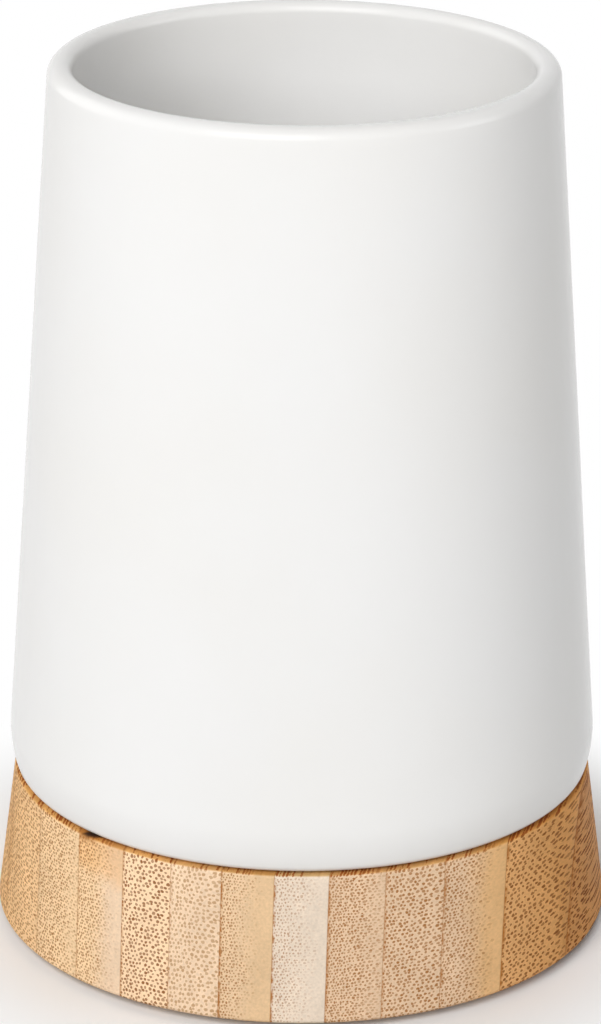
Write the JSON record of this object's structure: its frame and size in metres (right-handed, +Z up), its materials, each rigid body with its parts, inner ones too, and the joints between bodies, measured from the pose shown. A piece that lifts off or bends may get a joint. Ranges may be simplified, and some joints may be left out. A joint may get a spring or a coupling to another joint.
{
  "type": "bathroom tumbler",
  "caption": "Tapered white ceramic tumbler that stands in a flared base of laminated bamboo strips; the cup lifts out of the base. Holds toothbrushes or water.",
  "frame": {"origin": "on the tumbler's axis, at the level that the foot pads stand on", "axes": "+Z up along the axis, out of the mouth; the bamboo strips are stacked along X and their fibres run along Y"},
  "size_m": [0.0772, 0.0772, 0.11],
  "materials": {
    "white_glaze": "gloss",
    "bamboo": "satin",
    "seat_silicone": "matte",
    "clear_silicone": "satin"
  },
  "bodies": {
    "base": {"bamboo_strip_01": "bamboo", "bamboo_strip_02": "bamboo", "bamboo_strip_03": "bamboo", "bamboo_strip_04": "bamboo", "bamboo_strip_05": "bamboo", "bamboo_strip_06": "bamboo", "bamboo_strip_07": "bamboo", "bamboo_strip_08": "bamboo", "bamboo_strip_09": "bamboo", "bamboo_strip_10": "bamboo", "bamboo_strip_11": "bamboo", "bamboo_strip_12": "bamboo", "bamboo_strip_13": "bamboo", "seat_ring": "seat_silicone", "foot_pad_1": "clear_silicone", "foot_pad_2": "clear_silicone", "foot_pad_3": "clear_silicone", "foot_pad_4": "clear_silicone"},
    "cup": {"ceramic_cup": "white_glaze"}
  },
  "joints": [
    {"name": "cup_lift", "type": "slide", "parent": "base", "child": "cup", "axis": [0, 0, 1], "range_m": [0, 0.04]}
  ]
}
